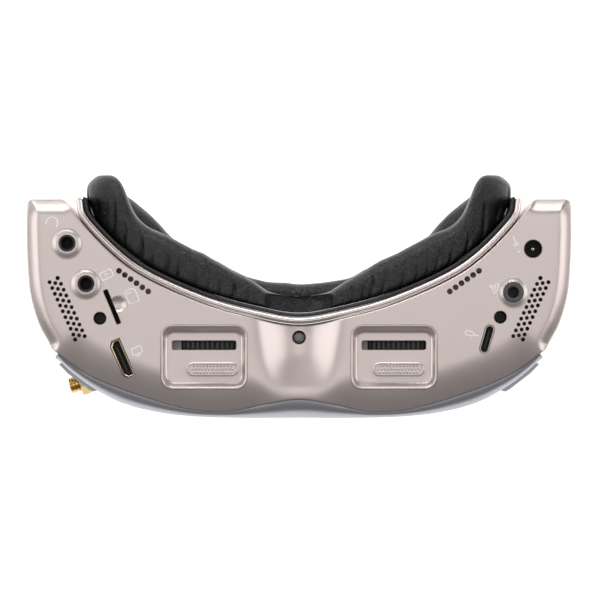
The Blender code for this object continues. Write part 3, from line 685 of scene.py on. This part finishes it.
def foam_ring(around=900, section=64):
    """The leather roll round the eyes.

    A rounded-rectangle ring in X and Z carries a D-shaped section: across the roll a superellipse,
    and in depth from the carrier's line up to the crest line. Puckers are powers of a folded sine
    across the roll, at an uneven pitch, deeper low on its sides than at its crest and faint before
    the nose; slanting folds and slow swells lie over them.
    """
    theta = np.linspace(0, 2 * np.pi, around, endpoint=False)
    power = 2 / 4.2
    cx = FOAM_HALF[0] * np.sign(np.cos(theta)) * np.abs(np.cos(theta)) ** power
    cz = SPLIT + FOAM_HALF[1] * np.sign(np.sin(theta)) * np.abs(np.sin(theta)) ** power
    ring = np.stack([cx, cz], 1)
    ring = resample(np.vstack([ring, ring[:1]]), around + 1)[:-1]
    along = np.roll(ring, -1, 0) - np.roll(ring, 1, 0)
    along /= np.linalg.norm(along, axis=1)[:, None]
    outward = np.stack([along[:, 1], -along[:, 0]], 1)
    arc = np.arange(around) * np.linalg.norm(ring[1] - ring[0])
    side_share = np.abs(outward[:, 0]) ** 2
    thick = FOAM_THICK[1] + (FOAM_THICK[0] - FOAM_THICK[1]) * side_share
    phi = np.linspace(0, 2 * np.pi, section, endpoint=False) + 0.001
    full = np.where(np.sin(phi) > 0, 2 / 2.6, 2 / 6.0)
    across = np.sign(np.cos(phi)) * np.abs(np.cos(phi)) ** full
    up = np.sign(np.sin(phi)) * np.abs(np.sin(phi)) ** full
    rise = np.where(up > 0, 0.40 + 0.60 * up, 0.40 + 0.40 * up)
    x = ring[:, None, 0] + outward[:, None, 0] * across * thick[:, None]
    z = ring[:, None, 1] + outward[:, None, 1] * across * thick[:, None]
    axis, reach = NOSE_CUT
    nose = np.clip(axis - np.sqrt(np.clip(reach ** 2 - x ** 2, 0, None)), 45, 70)
    z = np.where((z > SPLIT) & (np.abs(x) < reach), np.minimum(z, nose - 0.1 * soft_ramp(z - nose, 0.8)), z)
    base = smooth_interp(x, BASE_LINE)
    upper = smoothstep((z - SPLIT + 7) / 14)
    crest = upper * smooth_interp(x, CREST_NEAR) + (1 - upper) * smooth_interp(x, CREST_FAR)
    y = base + (crest - base) * rise
    rng = np.random.default_rng(5)

    def drawn(values):
        """Random values spread evenly round the ring, and read between them."""
        return np.interp(arc, np.linspace(0, arc[-1], len(values)), values)[:, None]

    jitter = drawn(rng.normal(0, 0.2, 70))
    phase = arc[:, None] / WRINKLE_PITCH + jitter + 0.30 * (rise - 0.4) + 0.12 * np.sin(5 * rise + 3 * jitter)
    pucker = (1 - np.abs(np.sin(np.pi * phase))) ** 3.2
    strength = drawn(rng.uniform(0.4, 1.0, 120))
    reach = drawn(rng.uniform(0.35, 0.85, 120))
    low = smoothstep((reach - rise) / 0.35) * smoothstep((rise + 0.05) / 0.1)
    low = low * (0.12 + 0.88 * smoothstep((np.abs(x) - 13) / 9))
    folds = (1 - np.abs(np.sin(np.pi * (arc[:, None] / FOLD_PITCH - jitter * 2 + 1.6 * across)))) ** 6
    swell = drawn(rng.normal(0, 0.35, 50)) * smoothstep(rise / 0.6)
    depth = 2.1 * pucker * strength * low + 0.4 * folds * strength[::-1] * smoothstep(rise / 0.5)
    inward = depth + 0.3 * np.abs(swell)
    x = x - outward[:, None, 0] * across * inward * 0.9
    z = z - outward[:, None, 1] * across * inward * 0.9
    y = y - depth * np.clip(up, 0, 1) * 0.5 - np.abs(swell) * 0.7 * rise
    points = np.dstack([x, np.minimum(y, FOAM_DEEPEST - 0.05), z]).reshape(-1, 3)
    made = mesh_object("leather_roll", points, grid_faces(around, section, True, True).tolist(), 180)
    return weld(made, outward=True)


# ------------------------------ panels, knobs and focus wheels
# Inset from the frame's edge and depth, down the recess's filleted slope to its floor
PANEL_SLOPE = ((0.1, 0.0), (0.3, 0.03), (0.5, 0.12), (0.68, 0.28), (1.35, 1.35), (1.55, 1.68), (1.75, 1.92),
               (2.0, 2.07), (2.3, 2.14), (2.7, 2.15))


def adjuster_panel(side):
    """The framed recess over one eye's adjusters: flat frame, filleted slope, floor with two openings."""
    x, y = PANELS[side][:2]
    turn = np.linspace(0, np.pi / 2, 5)
    rings = [(31.3, 23.3, 4.3, 57.7), (31.3, 23.3, 4.3, TOP - 0.12)]
    rings += [(31.3 - 0.24 * (1 - c), 23.3 - 0.24 * (1 - c), 4.3 - 0.12 * (1 - c), TOP - 0.12 * (1 - s))
              for s, c in zip(np.sin(turn[1:]), np.cos(turn[1:]))]
    for inset, depth in PANEL_SLOPE:
        rings.append((31.0 - 2 * inset, 23.0 - 2.35 * inset, 4.15 - 0.72 * inset, TOP - depth))
    points, faces = stacked([at_height(slot_outline(length, width, corner, 8) + [x, y], z)
                             for length, width, corner, z in rings])
    points[:, 2] += (sheet_height(points[:, 0], points[:, 1]) - TOP) * (points[:, 2] > 59.6)
    made = mesh_object(f"adjuster_frame_{side}", points, faces, 30)
    weld(made, outward=True)
    window = sunk(box_outline(23.1, 3.3, 0.7), (x, EYES[side][1]), 50, TOP - 2.15, 0.18)
    slide = sunk(box_outline(12.6, 2.6, 1.2), (x, KNOBS[side][1]), 50, TOP - 2.15, 0.1)
    carve(made, joined("cutter", [window, slide]))
    return made


PYRAMID_PITCH = 1.22
SQUARE = np.array([(-1, -1), (1, -1), (1, 1), (-1, 1)], float)


def slider_knob(side):
    """A stadium button with three rows of small pyramids and smooth round ends."""
    x, y = KNOBS[side][:2]
    top, foot = TOP - 0.55, 59.35
    steps = [(0.0, foot), (0.0, top - 0.35), (-0.1, top - 0.12), (-0.32, top), (-0.62, top - 0.02),
             (-0.85, top - 0.22)]
    outline = box_outline(18.6, 5.0, 2.45, 10)
    parts = [stacked([at_height(outline(g) + [x, y], z) for g, z in steps])]
    for row, number in ((-1, 12), (0, 13), (1, 12)):
        for i in range(number):
            middle = np.array([x + (i - (number - 1) / 2) * PYRAMID_PITCH, y + row * PYRAMID_PITCH])
            parts.append(stacked([at_height(middle + 0.42 * SQUARE, top - 0.3),
                                  at_height(middle + 0.126 * SQUARE, top + 0.2)]))
    stem = box_part((3.6, 1.8, 3.2), (x, y, 58.9))
    return joined(f"slider_knob_{side}", parts + [stem], 30)


def focus_wheel(side, ribs=96, per_rib=10):
    """The focus ring: a rim with rounded ribs, radius falling between them, and its inner web."""
    centre = EYES[side]
    outer, half = 27.4, 1.4
    rim = [(outer - 0.18, -half), (outer, -half + 0.18), (outer, -0.5), (outer, 0.5), (outer, half - 0.18),
           (outer - 0.18, half)]
    web = [(24.8, half), (24.8, 0.9), (17.2, 0.9), (17.2, -0.9), (24.8, -0.9), (24.8, -half)]
    profile = np.array(rim + web)
    turn = np.linspace(0, 2 * np.pi, ribs * per_rib, endpoint=False)
    valley = 0.9 * smoothstep((-0.1 - np.cos(turn * ribs)) / 0.7)
    radius = profile[None, :, 0] - valley[:, None] * (profile[None, :, 0] > 26)
    points, faces = spun(turn, radius, profile[:, 1])
    return weld(mesh_object(f"focus_wheel_{side}", points[:, [0, 2, 1]] + centre, faces, 35), outward=True)


# ------------------------------ ports
def jack(x, y, outer, hole, top):
    """A socket's barrel with a rounded collar and a bore that steps in at its contact."""
    turn = np.linspace(0, np.pi / 2, 5)
    collar = [(outer - 0.3 + 0.3 * math.cos(a), top - 0.3 + 0.3 * math.sin(a)) for a in turn]
    mouth = [(hole + 0.35 - 0.35 * math.sin(a), top - 0.35 + 0.35 * math.cos(a)) for a in turn]
    bore = [(hole, top - 3.0), (hole - 0.35, top - 3.3), (hole - 0.35, 48.5), (0.02, 48.5), (0.02, 47.2)]
    low = [(4.4, 47.2), (4.4, 58.2), (outer, 58.2)]
    return placed(turned(np.array(low + collar + mouth + bore)[::-1], 56), (x, y, 0.0))


def rim_wall(outline, thick, low, high, place, angle):
    """A thin formed wall standing round an opening, open at its mouth and rounded on its edge."""
    steps = [(0.0, low), (0.0, high - 0.1), (-0.1, high), (0.1 - thick, high), (-thick, high - 0.1),
             (-thick, low)]
    rings = [at_height(turned_outline(outline(g), angle, place), z) for g, z in steps]
    return np.vstack(rings), grid_faces(len(steps), len(rings[0]), True, True).tolist()


def socket(name, outline, place, angle, low, high, tongue):
    """A metal shell round a dark tongue on its floor, as two pieces."""
    shell_part = rim_wall(outline, 0.3, low, high, place, angle)
    pan = prism(turned_outline(outline(-0.3), angle, place), high - 6.6, high - 6.0)
    plate = sunk(box_outline(tongue[0], tongue[1], 0.2, 3), place, high - 6.0, high - 1.2, 0.12, angle, -0.24)
    metal = joined(f"{name}_rim", [shell_part], 40)
    inner = joined(f"{name}_tongue", [pan, plate], 40)
    return weld(metal, outward=True), weld(inner, outward=True)


def cross_screw(name, place, top, radius=2.05):
    """A pan head with a cross recess."""
    x, y = place
    profile = [(0.02, top), (radius - 0.45, top), (radius - 0.15, top - 0.12), (radius, top - 0.4),
               (radius, top - 1.6), (1.0, top - 1.8), (1.0, top - 8.2), (0.02, top - 8.2)]
    made = weld(joined(name, [placed(turned(profile, 40), (x, y, 0.0))], 35), outward=True)
    for angle in (45, 135):
        arm = sunk(box_outline(2.8, 0.8, 0.1, 2), place, top - 1.5, top, 0.0, angle, 0.12)
        carve(made, joined("cutter", [arm]))
    return made


def threaded_port(name, number):
    """A gold antenna socket: a screw thread of 0.5 mm pitch on a hollow barrel with a smooth mouth."""
    low, high = node_box(f"antenna_port_{number}")
    side = np.sign(low[0] + high[0])
    out = np.array([side * math.cos(BAY_OUT), -math.sin(BAY_OUT), 0.0])
    middle = (low + high) / 2
    length, sides = 6.2, 48
    turn = np.linspace(0, 2 * np.pi, sides, endpoint=False)
    s = np.linspace(0, length, 66)
    phase = s[None] / 0.62 + turn[:, None] / (2 * np.pi)
    thread = 0.34 * np.abs(2 * (phase - np.floor(phase)) - 1)
    fade = smoothstep((s - 0.5) / 0.3) * smoothstep((length - 0.35 - s) / 0.4)
    radius = 3.0 - 0.06 - thread * fade[None] - 0.25 * smoothstep((s - length + 0.3) / 0.3)[None]
    bore = np.array([(2.3, length), (2.15, length - 0.2), (2.15, 0.8), (0.02, 0.8), (0.02, 0.0)])
    r = np.hstack([radius, np.broadcast_to(bore[:, 0], (sides, len(bore)))])
    h = np.r_[s, bore[:, 1]]
    barrel = placed(spun(turn, r, h), middle - out * length / 2, out)
    pin_profile = [(0.02, 4.6), (0.3, 4.6), (0.45, 4.3), (0.45, 0.6), (0.02, 0.6)]
    pin = placed(turned(pin_profile, 14), middle - out * length / 2, out)
    return weld(joined(name, [barrel, pin], 40), outward=True)


def dial(name, x, y):
    """A knurled dial standing just out of the visor's top, with three arrow marks sunk in its face."""
    high = node_box(name)[1][2]
    teeth, per = 60, 6
    turn = np.linspace(0, 2 * np.pi, teeth * per, endpoint=False)
    ridge = 0.22 * smoothstep((np.cos(turn * teeth) + 0.5) / 1.2)
    profile = np.array([(0.02, 0.42), (6.3, 0.42), (6.9, 0.36), (7.55, 0.5), (8.0, 1.0), (8.0, high),
                        (0.02, high)])
    edge = (profile[:, 0] > 7.5) & (profile[:, 1] < 4)
    r = profile[None, :, 0] - (0.22 - ridge)[:, None] * edge
    points, faces = spun(turn, r, profile[:, 1])
    made = weld(mesh_object(f"{name}_knurled", points + [x, y, 0.0], faces, 35), outward=True)
    marks = []
    for angle in (0, 90, 180, 270):
        a = math.radians(angle)
        triangle = np.array([(0.0, 1.0), (-0.9, -0.6), (0.9, -0.6)])
        place = (x + 4.6 * math.sin(a), y + 4.6 * math.cos(a))
        marks.append(prism(turned_outline(triangle, -angle, place), 0.1, 0.62))
    return carve(made, joined("cutter", marks))


# ------------------------------ printed marks
def ribbon(path, width, z, closed=False):
    """(points, faces) of a thin raised line along a plan path."""
    path = np.asarray(path, float)
    along = np.gradient(path, axis=0) if not closed else np.roll(path, -1, 0) - np.roll(path, 1, 0)
    along /= np.linalg.norm(along, axis=1)[:, None]
    side = np.stack([along[:, 1], -along[:, 0]], 1) * width / 2
    points = np.stack([at_height(path + side, z), at_height(path - side, z)], 1).reshape(-1, 3)
    return points, grid_faces(len(path), 2, closed).tolist()


def arc(radius, start, end, steps=20):
    """Points of an arc about the origin, between two angles in degrees."""
    a = np.radians(np.linspace(start, end, steps))
    return np.stack([np.cos(a), np.sin(a)], 1) * radius


def port_marks():
    """Small generic pictograms beside the ports; no letters."""
    def at(place, angle, shapes, width=0.32):
        """Lines of (path, closed) turned, moved to a plan place and laid just above the surface."""
        parts = []
        for path, closed in shapes:
            plan = turned_outline(np.asarray(path, float), angle, place)
            points, faces = ribbon(plan, width, 0.0, closed)
            points[:, 2] = np.repeat(sheet_height(*plan.T) + features(*plan.T), 2) + 0.035
            parts.append((points, faces))
        return parts

    def line(*path):
        return path, False

    def loop(*path):
        return path, True

    def ring(radius):
        return arc(radius, 0, 342), True

    def bow(radius, start, end, steps):
        return arc(radius, start, end, steps), False

    def oblong(length, width, corner):
        return slot_outline(length, width, corner, 4), True

    phones = [bow(2.0, 10, 170, 18), line((-2.0, 0.3), (-2.0, -1.3)), line((2.0, 0.3), (2.0, -1.3))]
    card = [loop((-1.9, -2.5), (1.9, -2.5), (1.9, 1.5), (0.9, 2.5), (-1.9, 2.5)),
            line((-1.0, 0.9), (-1.0, 1.8)), line((-0.1, 0.9), (-0.1, 1.8))]
    screen = [oblong(4.4, 2.8, 0.5), loop((-0.5, -0.7), (0.8, 0.0), (-0.5, 0.7))]
    wave = [bow(0.9, -50, 50, 8), bow(1.8, -50, 50, 10), bow(2.7, -50, 50, 12), ring(0.3)]
    polarity = [bow(0.9, 60, 300, 12), ring(0.28), line((-3.4, 0), (-2.4, 0)), line((-2.4, 0), (-1.0, 0)),
                line((2.0, 0), (3.2, 0)), line((2.6, -0.6), (2.6, 0.6))]
    plug = [oblong(3.2, 1.5, 0.7), line((1.6, 0), (3.4, 0))]
    monitor = [oblong(3.6, 2.4, 0.3), line((-0.9, -1.9), (0.9, -1.9)), line((0, -1.2), (0, -1.9))]
    parts = at((-88.9, 26.6), -18, phones) + at((-60.2, 0.2), 22, card) + at((-69.3, 7.8), 25, screen)
    parts += at((69.0, 3.6), -22, wave) + at((78.3, 18.6), -68, polarity, 0.26)
    parts += at((61.4, -13.3), -16, plug) + at((-58.4, -19.5), 24, monitor)
    return joined("port_marks", parts, 60)


# ------------------------------ materials
class Value:
    """A shader socket or a number; arithmetic on values adds Math nodes."""

    def __init__(self, look, socket):
        self.look, self.socket = look, socket

    def combine(self, operation, a, b):
        return self.look.node("ShaderNodeMath", {"operation": operation}, {0: a, 1: b})

    def __add__(self, other):
        return self.combine("ADD", self, other)

    def __sub__(self, other):
        return self.combine("SUBTRACT", self, other)

    def __rsub__(self, other):
        return self.combine("SUBTRACT", other, self)

    def __mul__(self, other):
        return self.combine("MULTIPLY", self, other)

    __radd__ = __add__
    __rmul__ = __mul__


class Look:
    """A material with one Principled shader, whose steady values are set by name."""

    def __init__(self, name, colour, **steady):
        self.material = bpy.data.materials.new(name)
        self.material.use_nodes = True
        self.tree = self.material.node_tree
        self.shader = self.tree.nodes["Principled BSDF"]
        self.colour = (*colour, 1.0)
        self.shader.inputs["Base Color"].default_value = self.colour
        for key, value in steady.items():
            self.shader.inputs[key.replace("_", " ").title().replace("Ior", "IOR")].default_value = value
        self.material.diffuse_color = self.colour

    def node(self, kind, settings=None, inputs=None, output=0):
        """Add a node, set its settings, then link or set its inputs; gives the chosen output."""
        made = self.tree.nodes.new(kind)
        for key, value in (settings or {}).items():
            if key == "stops":
                ramp = made.color_ramp
                for place, grey in value:
                    stop = ramp.elements[0] if place == value[0][0] else ramp.elements.new(place)
                    stop.position, stop.color = place, (grey, grey, grey, 1.0)
                ramp.elements.remove(ramp.elements[-1])
            else:
                setattr(made, key, value)
        for key, value in (inputs or {}).items():
            if isinstance(value, Value):
                self.tree.links.new(value.socket, made.inputs[key])
            else:
                made.inputs[key].default_value = value
        return Value(self, made.outputs[output])

    def place(self, scale=(1.0, 1.0, 1.0)):
        """Object coordinates, stretched if asked."""
        where = self.node("ShaderNodeTexCoord", output="Object")
        return self.node("ShaderNodeMapping", inputs={"Vector": where, "Scale": scale})

    def noise(self, scale, detail=3.0, stretch=(1.0, 1.0, 1.0)):
        inputs = {"Vector": self.place(stretch), "Scale": scale, "Detail": detail}
        return self.node("ShaderNodeTexNoise", inputs=inputs)

    def tint(self, mask, colour):
        """Base Color runs from the look's colour to another by the mask."""
        inputs = {0: mask, 6: self.colour, 7: (*colour, 1.0)}
        mixed = self.node("ShaderNodeMix", {"data_type": "RGBA"}, inputs, 2)
        self.feed("Base Color", mixed)

    def feed(self, name, value):
        self.tree.links.new(value.socket, self.shader.inputs[name])
        return self

    def bump(self, height, strength, distance):
        inputs = {"Height": height, "Strength": strength, "Distance": distance}
        return self.feed("Normal", self.node("ShaderNodeBump", inputs=inputs))


def satin(name, colour, shade, metal=0.72, rough=0.33):
    """Painted metallic plastic: fine flakes vary colour and roughness a little."""
    look = Look(name, colour, metallic=metal, coat_weight=0.12, coat_roughness=0.25)
    flakes = look.noise(5200.0, 2.0)
    look.tint(flakes * 0.5 + look.noise(60.0, 2.0) * 0.25, shade)
    look.feed("Roughness", flakes * 0.10 + (rough - 0.05))
    return look.bump(flakes, 0.035, 0.00004)


def plastic(name, colour, rough=0.42, grain=2600.0, depth=0.10):
    """Moulded plastic: a fine spark-eroded grain in colour, roughness and height."""
    look = Look(name, colour)
    texture = look.noise(grain, 4.0)
    look.tint(texture * 0.5, tuple(1.5 * c + 0.004 for c in colour))
    look.feed("Roughness", texture * 0.14 + (rough - 0.07))
    return look.bump(texture, depth, 0.00006)


def metal(name, colour, rough=0.22):
    """Plated or turned metal with faint uneven polish."""
    look = Look(name, colour, metallic=1.0)
    brushed = look.noise(1500.0, 3.0)
    look.feed("Roughness", brushed * 0.12 + (rough - 0.06))
    return look.bump(brushed, 0.04, 0.00003)


def leather():
    """Black leather: small pebbles with narrow valleys, finer grain on top, soft sheen."""
    look = Look("grained_leather", (0.005, 0.005, 0.0055), specular_ior_level=0.4)
    pebbles = look.node("ShaderNodeTexVoronoi", {"feature": "DISTANCE_TO_EDGE"},
                        {"Vector": look.place(), "Scale": 1050.0})
    stops = [(0.0, 0.0), (0.16, 0.85), (0.4, 1.0)]
    valleys = look.node("ShaderNodeValToRGB", {"stops": stops}, {"Fac": pebbles})
    fine = look.noise(3800.0, 4.0)
    wide = look.noise(140.0, 3.0)
    look.tint(wide * 0.6, (0.014, 0.014, 0.015))
    look.feed("Roughness", wide * 0.16 + fine * 0.12 + 0.16)
    return look.bump(valleys * 0.6 + fine * 0.35 + wide * 0.5, 0.8, 0.00018)


def circuit():
    """Green solder mask over rows of paler tracks."""
    look = Look("circuit_board", (0.012, 0.07, 0.035), coat_weight=0.4)
    inputs = {"Vector": look.place(), "Scale": 260.0, "Mortar Size": 0.03}
    tracks = look.node("ShaderNodeTexBrick", None, inputs, 1)
    look.tint(tracks * 0.6, (0.10, 0.16, 0.05))
    look.feed("Roughness", look.noise(900.0) * 0.2 + 0.3)
    return look


LOOKS = {
    "champagne": satin("champagne_paint", (0.66, 0.575, 0.555), (0.56, 0.48, 0.46)),
    "strip": satin("champagne_strip", (0.74, 0.66, 0.64), (0.66, 0.58, 0.56), 0.8, 0.26),
    "silver": satin("silver_paint", (0.47, 0.465, 0.50), (0.39, 0.385, 0.42), 0.7, 0.36),
    "leather": leather(),
    "black": plastic("black_moulding", (0.010, 0.010, 0.011), 0.5),
    "wheel": plastic("wheel_rubber", (0.018, 0.018, 0.019), 0.5),
    "knob": satin("knob_paint", (0.62, 0.56, 0.54), (0.52, 0.46, 0.44), 0.6, 0.3),
    "grey": plastic("grey_moulding", (0.055, 0.055, 0.058), 0.4),
    "carriage": plastic("carriage_moulding", (0.16, 0.15, 0.15), 0.4),
    "thread": plastic("stitching", (0.035, 0.035, 0.037), 0.6),
    "gold": metal("gold_plate", (0.86, 0.62, 0.30)),
    "brass": metal("brass_shell", (0.80, 0.66, 0.42), 0.28),
    "steel": metal("steel", (0.62, 0.62, 0.63), 0.26),
    "dark_steel": metal("dark_steel", (0.17, 0.17, 0.175), 0.3),
    "paint": plastic("mark_paint", (0.80, 0.80, 0.79), 0.5),
    "circuit": circuit(),
    "glass": Look("coated_glass", (0.07, 0.06, 0.13), roughness=0.05, coat_weight=1.0),
}


def dress(made, look, body="housing", stands_for=()):
    """Give a made piece its material and body, and hide the frame nodes it stands for."""
    made.data.materials.clear()
    made.data.materials.append(LOOKS[look].material)
    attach(made, body)
    if stands_for:
        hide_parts(*stands_for)
    return made


def restyle(look, *nodes):
    """Keep frame nodes in view with a finer material."""
    for node in nodes:
        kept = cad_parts[node]
        for place in kept.material_slots:
            place.material = LOOKS[look].material


# ------------------------------ the goggles
dress(underside(), "champagne", stands_for=["underside_shell"])
dress(topside(), "champagne", stands_for=["top_shell"])
dress(front_cover(), "silver", stands_for=["front_cover"])
dress(faceplate(), "strip", stands_for=["faceplate"])
dress(flange(), "black", stands_for=["foam_flange"])
dress(stitches(), "thread")
roll = dress(foam_ring(), "leather", stands_for=["face_foam"])

for side in ("left", "right"):
    dress(adjuster_panel(side), "champagne", stands_for=[f"adjuster_panel_{side}"])
    dress(slider_knob(side), "knob", f"optics_{side}", [f"ipd_knob_{side}"])
    dress(focus_wheel(side), "wheel", f"focus_{side}", [f"focus_ring_{side}"])
    restyle("carriage", f"ipd_carriage_{side}")
    restyle("black", f"lens_cell_{side}")
    restyle("glass", f"lens_{side}", f"display_panel_{side}")
    restyle("circuit", f"display_board_{side}", f"port_board_{side}", f"control_board_{side}")

for name, (x, y) in JACKS.items():
    tracker = name == "tracker_jack"
    colour, outer, hole, proud = ("grey", 3.55, 2.05, 0.35) if tracker else ("black", 2.88, 2.2, 0.1)
    made = weld(joined(f"{name}_barrel", [jack(x, y, outer, hole, TOP + proud)], 35), outward=True)
    dress(made, colour, stands_for=[name])

DC_BARREL = [(0.02, 47.2), (0.02, 50.6), (2.95, 50.6), (2.95, 58.4), (3.1, 58.6), (4.6, 58.4), (4.6, 47.2)]
DC_PIN = [(0.02, 50.7), (0.85, 50.7), (0.85, 57.2), (0.7, 57.6), (0.45, 57.75), (0.02, 57.8)]
barrel = joined("dc_barrel", [placed(turned(DC_BARREL, 56), (*DC, 0.0))], 35)
dress(weld(barrel, outward=True), "black", stands_for=["dc_socket"])
pin = joined("dc_pin", [placed(turned(DC_PIN, 24), (*DC, 0.0))], 40)
dress(weld(pin, outward=True), "steel")

for name, look, slot, sizes in (
        ("video", "brass", "brass_shell", (video_outline(), *VIDEO, 54.8, TOP - 0.5, (9.2, 0.75))),
        ("usb", "steel", "steel", (box_outline(10.2, 3.1, 1.5), *USB, 47.2, TOP - 0.08, (6.8, 0.8)))):
    metal_rim, tongue = socket(name, *sizes)
    dress(metal_rim, look, stands_for=[f"{name}_socket"])
    dress(tongue, "black")

screw = cross_screw("centre_cross_screw", CENTRE_SCREW, 55.0)
dress(screw, "dark_steel", stands_for=["centre_screw"])
for side, place in zip(("left", "right"), SCREWS):
    node = f"housing_screw_{side}"
    screw = cross_screw(f"side_cross_screw_{side}", place, node_box(node)[1][2])
    dress(screw, "black", stands_for=[node])

for number in (1, 2):
    port = threaded_port(f"antenna_thread_{number}", number)
    dress(port, "gold", stands_for=[f"antenna_port_{number}"])
for name, sign in (("menu_dial", -1), ("channel_dial", 1)):
    dress(dial(name, sign * 82.0, 1.0), "black", name, [name])
dress(port_marks(), "paint")

restyle("gold", "antenna_nut_1", "antenna_nut_2")
restyle("silver", "receiver_module", "bay_cover")
restyle("grey", "rod_bracket_left", "rod_bracket_centre", "rod_bracket_right")
restyle("steel", "guide_rod_brow", "guide_rod_cheek", "strap_bar_left", "strap_bar_right")
restyle("black", "card_reader", "fan_frame", "fan_rotor", "power_button", "record_button")
restyle("circuit", "main_board", "video_board")


# ------------------------------ stage
def floor(reach=2500.0):
    """A plain pale floor just under the goggles."""
    made = mesh_object("floor", at_height(reach * SQUARE, -0.3), [[0, 1, 2, 3]])
    look = Look("pale_floor", (0.9, 0.9, 0.9), roughness=0.8, emission_color=(1.0, 1.0, 1.0, 1.0),
                emission_strength=0.75)
    made.data.materials.append(look.material)


def soft_box(name, place, size, power):
    """An area light aimed at the goggles' middle."""
    light = bpy.data.lights.new(name, "AREA")
    light.shape, light.size, light.size_y = "RECTANGLE", *size
    light.energy = power
    made = bpy.data.objects.new(name, light)
    made.location = place
    made.rotation_euler = (Vector((0, 0, 0.03)) - Vector(place)).to_track_quat("-Z", "Y").to_euler()
    bpy.context.scene.collection.objects.link(made)


def stage():
    """Floor, faint white surroundings, an overhead light, one from the face side and two at the sides."""
    floor()
    world = bpy.data.worlds.new("soft_room")
    world.use_nodes = True
    background = world.node_tree.nodes["Background"].inputs
    background["Color"].default_value = (1.0, 1.0, 1.0, 1.0)
    background["Strength"].default_value = 0.12
    bpy.context.scene.world = world
    bpy.context.scene.view_settings.view_transform = "Standard"
    soft_box("key", (-0.2, 0.95, 0.75), (1.2, 0.5), 9.0)
    soft_box("overhead", (0.0, 0.25, 3.2), (1.5, 1.2), 8.0)
    soft_box("left", (-1.0, 0.1, 0.9), (0.8, 1.2), 6.0)
    soft_box("right", (1.0, 0.1, 0.9), (0.8, 1.2), 6.0)


def camera(lens=350.0, frame_width=0.216):
    """Straight down on the port side from far enough that heights hardly shift."""
    made = bpy.data.objects.new("camera", bpy.data.cameras.new("camera"))
    made.data.lens = lens
    made.data.sensor_width = 36.0
    made.location = (0.00036, -0.0013, TOP * MM + frame_width * lens / made.data.sensor_width)
    made.data.clip_start, made.data.clip_end = 0.1, 20.0
    bpy.context.scene.collection.objects.link(made)
    bpy.context.scene.camera = made


stage()
camera()
